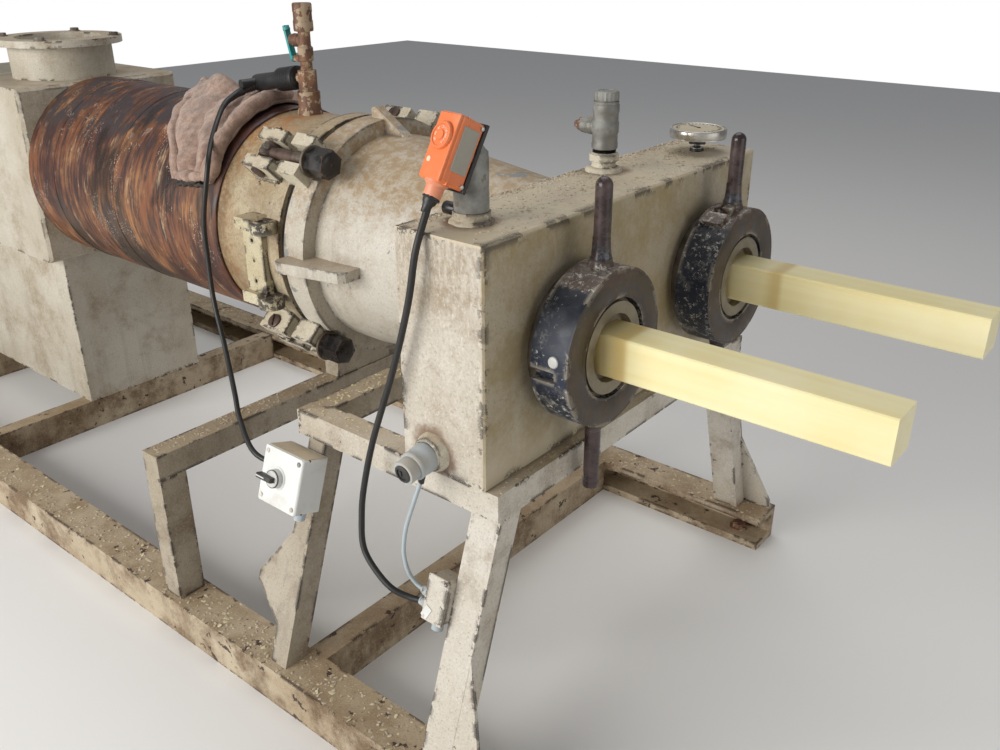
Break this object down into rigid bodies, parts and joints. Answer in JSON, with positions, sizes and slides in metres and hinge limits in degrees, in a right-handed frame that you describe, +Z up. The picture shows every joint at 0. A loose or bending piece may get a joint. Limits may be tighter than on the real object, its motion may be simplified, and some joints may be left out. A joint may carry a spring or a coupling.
{
  "type": "two-die bar extruder",
  "caption": "Press head on a splayed trestle frame that pushes two square bars out through ring-nut dies, with swing-bolt head flange, barrel, feed inlet, gearbox and motor",
  "frame": {"origin": "floor under the cross member of the rear trestle, on the press line", "axes": "X along the press towards the dies, Y across, Z up"},
  "size_m": [3.37, 1.162, 1.244],
  "materials": {
    "cream_paint": "chipped satin",
    "stained_cream": "stained",
    "frame_paint": "chipped satin",
    "rail_paint": "worn",
    "dark_seal": "matt",
    "rusty_steel": "rusty",
    "rusty_jacket": "rust streaked",
    "wool_rag": "felted",
    "worn_steel": "worn",
    "grey_plate": "machined",
    "pale_bar": "waxy",
    "black_paint": "speckled",
    "dark_steel": "oiled",
    "green_paint": "satin",
    "galvanised": "dull",
    "orange_case": "satin",
    "bezel_steel": "satin",
    "teal_paint": "satin",
    "black_plastic": "satin",
    "white_case": "satin",
    "black_cable": "matt",
    "pale_cable": "satin"
  },
  "bodies": {
    "root": {"die_box": "cream_paint", "head_cone": "cream_paint", "head_ribs": "cream_paint", "head_flange": "cream_paint", "head_lugs": "cream_paint", "seal_ring": "dark_seal", "barrel_flange": "stained_cream", "hinge_bracket": "stained_cream", "barrel_lugs": "stained_cream", "clevis_pins": "rusty_steel", "barrel_jacket": "rusty_jacket", "insulation_wrap": "wool_rag", "die_neck_near": "worn_steel", "die_neck_far": "worn_steel", "die_plate_near": "grey_plate", "die_plate_far": "grey_plate", "bar_near": "pale_bar", "bar_far": "pale_bar", "frame_near": "frame_paint", "frame_far": "frame_paint", "frame_front_bar": "frame_paint", "frame_rear_bar": "frame_paint", "leg_front_near": "frame_paint", "leg_front_far": "frame_paint", "leg_rear_near": "frame_paint", "leg_rear_far": "frame_paint", "base_rail_near": "rail_paint", "base_rail_far": "rail_paint", "stretcher_front": "rail_paint", "stretcher_mid": "rail_paint", "stretcher_rear": "rail_paint", "support_beam": "frame_paint", "support_post_near": "frame_paint", "support_post_far": "frame_paint", "feed_chamber": "cream_paint", "feed_inlet": "cream_paint", "feed_pedestal": "frame_paint", "gearbox": "green_paint", "motor": "green_paint", "thermostat_pocket": "galvanised", "thermostat_case": "orange_case", "vent_fitting": "galvanised", "thermometer": "bezel_steel", "heater_fitting": "galvanised", "barrel_valve": "rusty_steel", "probe_head": "black_plastic", "selector_box": "white_case", "junction_box": "frame_paint", "thermostat_cable": "black_cable", "heater_cable": "pale_cable", "probe_cable": "black_cable"},
    "ring_nut_near": {"ring_nut_near": "black_paint"},
    "ring_nut_far": {"ring_nut_far": "black_paint"},
    "swing_bolt_1": {"swing_bolt_1": "dark_steel"},
    "swing_bolt_2": {"swing_bolt_2": "dark_steel"},
    "swing_bolt_3": {"swing_bolt_3": "dark_steel"},
    "swing_bolt_4": {"swing_bolt_4": "dark_steel"},
    "thermostat_dial": {"thermostat_dial": "orange_case"},
    "valve_lever": {"valve_lever": "teal_paint"},
    "selector_knob": {"selector_knob": "black_plastic"}
  },
  "joints": [
    {"name": "ring_nut_near_turn", "type": "hinge", "parent": "root", "child": "ring_nut_near", "pos_m": [0.436, -0.2125, 0.778], "axis": [1, 0, 0], "range_deg": [0, 60]},
    {"name": "ring_nut_far_turn", "type": "hinge", "parent": "root", "child": "ring_nut_far", "pos_m": [0.436, 0.2325, 0.778], "axis": [1, 0, 0], "range_deg": [0, 60]},
    {"name": "swing_bolt_1_open", "type": "hinge", "parent": "root", "child": "swing_bolt_1", "pos_m": [-0.382, -0.19516, 0.97316], "axis": [0, -0.7071, -0.7071], "range_deg": [0, 75]},
    {"name": "swing_bolt_2_open", "type": "hinge", "parent": "root", "child": "swing_bolt_2", "pos_m": [-0.382, -0.19516, 0.58284], "axis": [0, 0.7071, -0.7071], "range_deg": [0, 75]},
    {"name": "swing_bolt_3_open", "type": "hinge", "parent": "root", "child": "swing_bolt_3", "pos_m": [-0.382, 0.19516, 0.58284], "axis": [0, 0.7071, 0.7071], "range_deg": [0, 75]},
    {"name": "swing_bolt_4_open", "type": "hinge", "parent": "root", "child": "swing_bolt_4", "pos_m": [-0.382, 0.19516, 0.97316], "axis": [0, -0.7071, 0.7071], "range_deg": [0, 75]},
    {"name": "thermostat_dial_turn", "type": "hinge", "parent": "root", "child": "thermostat_dial", "pos_m": [0.27358, -0.38969, 1.11403], "axis": [-0.154, -0.8735, 0.4617], "range_deg": [-135, 135]},
    {"name": "valve_lever_turn", "type": "hinge", "parent": "root", "child": "valve_lever", "pos_m": [-0.5193, 0, 1.13], "axis": [1, 0, 0], "range_deg": [0, 90]},
    {"name": "selector_knob_turn", "type": "hinge", "parent": "root", "child": "selector_knob", "pos_m": [-0.054, -0.50934, 0.47596], "axis": [0, -0.9483, 0.3175], "range_deg": [-45, 45]}
  ]
}
